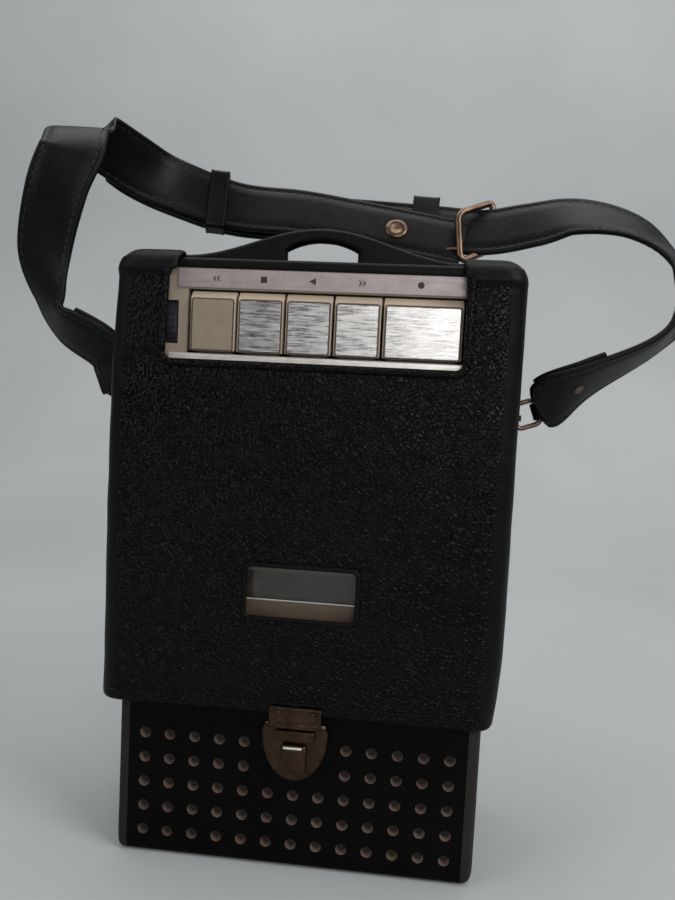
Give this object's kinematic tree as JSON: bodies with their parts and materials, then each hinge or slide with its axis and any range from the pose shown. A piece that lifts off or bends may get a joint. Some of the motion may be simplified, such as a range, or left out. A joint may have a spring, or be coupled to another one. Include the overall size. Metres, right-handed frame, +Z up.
{
  "type": "cassette tape recorder",
  "caption": "Upright portable cassette recorder in a black leather case: flap with key cut-out, cassette window and lock, perforated front, grip and buckled shoulder strap.",
  "frame": {"origin": "middle of the base that the case stands on", "axes": "+Z up, -Y towards the front with the keys, +X to the right seen from the front"},
  "size_m": [0.2872, 0.0948, 0.2938],
  "materials": {
    "case_leather": "grained",
    "strap_leather": "smooth, worn",
    "beige_plastic": "satin",
    "dark_plastic": "satin",
    "black_plastic": "gloss",
    "brushed_plate": "brushed",
    "trim_metal": "satin",
    "lock_metal": "worn nickel",
    "old_brass": "tarnished",
    "window": "clear",
    "steel": "zinc plated",
    "rubber": "matt",
    "cone_paper": "paper",
    "board": "laminate",
    "parts": "mixed",
    "cell": "printed",
    "cream_plastic": "satin"
  },
  "bodies": {
    "case": {"case_shell": "case_leather", "carry_grip": "case_leather", "lock_shield": "lock_metal", "strap_lugs": "old_brass", "rear_housing": "dark_plastic", "front_panel": "beige_plastic", "label_strip": "trim_metal", "key_trim": "trim_metal", "speaker_frame": "steel", "speaker_cone": "cone_paper", "mech_chassis": "steel", "chassis_screws": "steel", "key_rod": "steel", "volume_pot": "parts", "motor": "steel", "drive_belt": "rubber", "circuit_board": "board", "circuit_parts": "parts", "battery_tray": "dark_plastic", "batteries": "cell", "battery_cover": "dark_plastic"},
    "flap": {"flap": "case_leather", "lock_plate": "lock_metal", "flap_rivets": "lock_metal"},
    "lock_button": {"lock_button": "lock_metal"},
    "key_rewind": {"key_rewind": "beige_plastic", "plate_rewind": "brushed_plate"},
    "key_stop": {"key_stop": "beige_plastic", "plate_stop": "brushed_plate"},
    "key_start": {"key_start": "beige_plastic", "plate_start": "brushed_plate"},
    "key_forward": {"key_forward": "beige_plastic", "plate_forward": "brushed_plate"},
    "key_record": {"key_record": "beige_plastic", "plate_record": "brushed_plate"},
    "head_bridge": {"head_bridge": "steel", "sound_head": "steel", "erase_head": "dark_plastic"},
    "pinch_roller": {"pinch_roller": "rubber"},
    "flywheel": {"flywheel": "steel"},
    "motor_pulley": {"motor_pulley": "old_brass"},
    "supply_reel": {"supply_reel": "cream_plastic"},
    "takeup_reel": {"takeup_reel": "cream_plastic"},
    "volume_wheel": {"volume_wheel": "black_plastic"},
    "cassette_lid": {"cassette_lid": "beige_plastic", "lid_window": "window"},
    "strap": {"strap_left": "strap_leather", "strap_right": "strap_leather", "strap_buckle": "old_brass", "buckle_prong": "old_brass", "strap_keeper": "strap_leather", "strap_rivets": "old_brass", "ring_left": "old_brass", "ring_right": "old_brass", "swivel_left": "old_brass", "swivel_right": "old_brass"}
  },
  "joints": [
    {"name": "flap_hinge", "type": "hinge", "parent": "case", "child": "flap", "pos_m": [0, 0.0295, 0.2328], "axis": [-1, 0, 0], "range_deg": [0, 90]},
    {"name": "lid_hinge", "type": "hinge", "parent": "case", "child": "cassette_lid", "pos_m": [0, -0.0262, 0.077], "axis": [1, 0, 0], "range_deg": [0, 54]},
    {"name": "lock_slide", "type": "slide", "parent": "case", "child": "lock_button", "axis": [0, 0, -1], "range_m": [0, 0.0022], "stiffness_N_per_m": 400, "springref_m": -0.001},
    {"name": "rewind_press", "type": "hinge", "parent": "case", "child": "key_rewind", "pos_m": [0, -0.022, 0.188], "axis": [-1, 0, 0], "range_deg": [0, 8], "stiffness_Nm_per_rad": 0.5, "springref_deg": -2.86},
    {"name": "stop_press", "type": "hinge", "parent": "case", "child": "key_stop", "pos_m": [0, -0.022, 0.188], "axis": [-1, 0, 0], "range_deg": [0, 8], "stiffness_Nm_per_rad": 0.5, "springref_deg": -2.86},
    {"name": "start_press", "type": "hinge", "parent": "case", "child": "key_start", "pos_m": [0, -0.022, 0.188], "axis": [-1, 0, 0], "range_deg": [0, 8], "stiffness_Nm_per_rad": 0.5, "springref_deg": -2.86},
    {"name": "forward_press", "type": "hinge", "parent": "case", "child": "key_forward", "pos_m": [0, -0.022, 0.188], "axis": [-1, 0, 0], "range_deg": [0, 8], "stiffness_Nm_per_rad": 0.5, "springref_deg": -2.86},
    {"name": "record_press", "type": "hinge", "parent": "case", "child": "key_record", "pos_m": [0, -0.022, 0.188], "axis": [-1, 0, 0], "range_deg": [0, 8], "stiffness_Nm_per_rad": 0.5, "springref_deg": -2.86},
    {"name": "head_slide", "type": "slide", "parent": "case", "child": "head_bridge", "axis": [0, 0, -1], "range_m": [0, 0.0052], "stiffness_N_per_m": 5, "springref_m": -0.055},
    {"name": "roller_spin", "type": "hinge", "parent": "head_bridge", "child": "pinch_roller", "pos_m": [-0.021, 0, 0.1517], "axis": [0, 1, 0], "continuous": true},
    {"name": "flywheel_spin", "type": "hinge", "parent": "case", "child": "flywheel", "pos_m": [-0.021, 0, 0.1395], "axis": [0, 1, 0], "continuous": true},
    {"name": "motor_spin", "type": "hinge", "parent": "case", "child": "motor_pulley", "pos_m": [0.036, 0, 0.152], "axis": [0, 1, 0], "continuous": true},
    {"name": "supply_spin", "type": "hinge", "parent": "case", "child": "supply_reel", "pos_m": [0.02125, 0, 0.108], "axis": [0, 1, 0], "continuous": true},
    {"name": "takeup_spin", "type": "hinge", "parent": "case", "child": "takeup_reel", "pos_m": [-0.02125, 0, 0.108], "axis": [0, 1, 0], "continuous": true},
    {"name": "volume_turn", "type": "hinge", "parent": "case", "child": "volume_wheel", "pos_m": [0, -0.0207, 0.2069], "axis": [1, 0, 0], "range_deg": [-135, 135]},
    {"name": "strap_swing", "type": "hinge", "parent": "case", "child": "strap", "pos_m": [0, 0.004, 0.177], "axis": [-1, 0, 0], "range_deg": [-90, 90]}
  ],
  "couplings": [
    {"joint": "lid_hinge", "follows": "flap_hinge", "ratio": 0.6},
    {"joint": "start_press", "follows": "head_slide", "rad_per_m": 26.8},
    {"joint": "motor_spin", "follows": "flywheel_spin", "ratio": 7.3333}
  ]
}
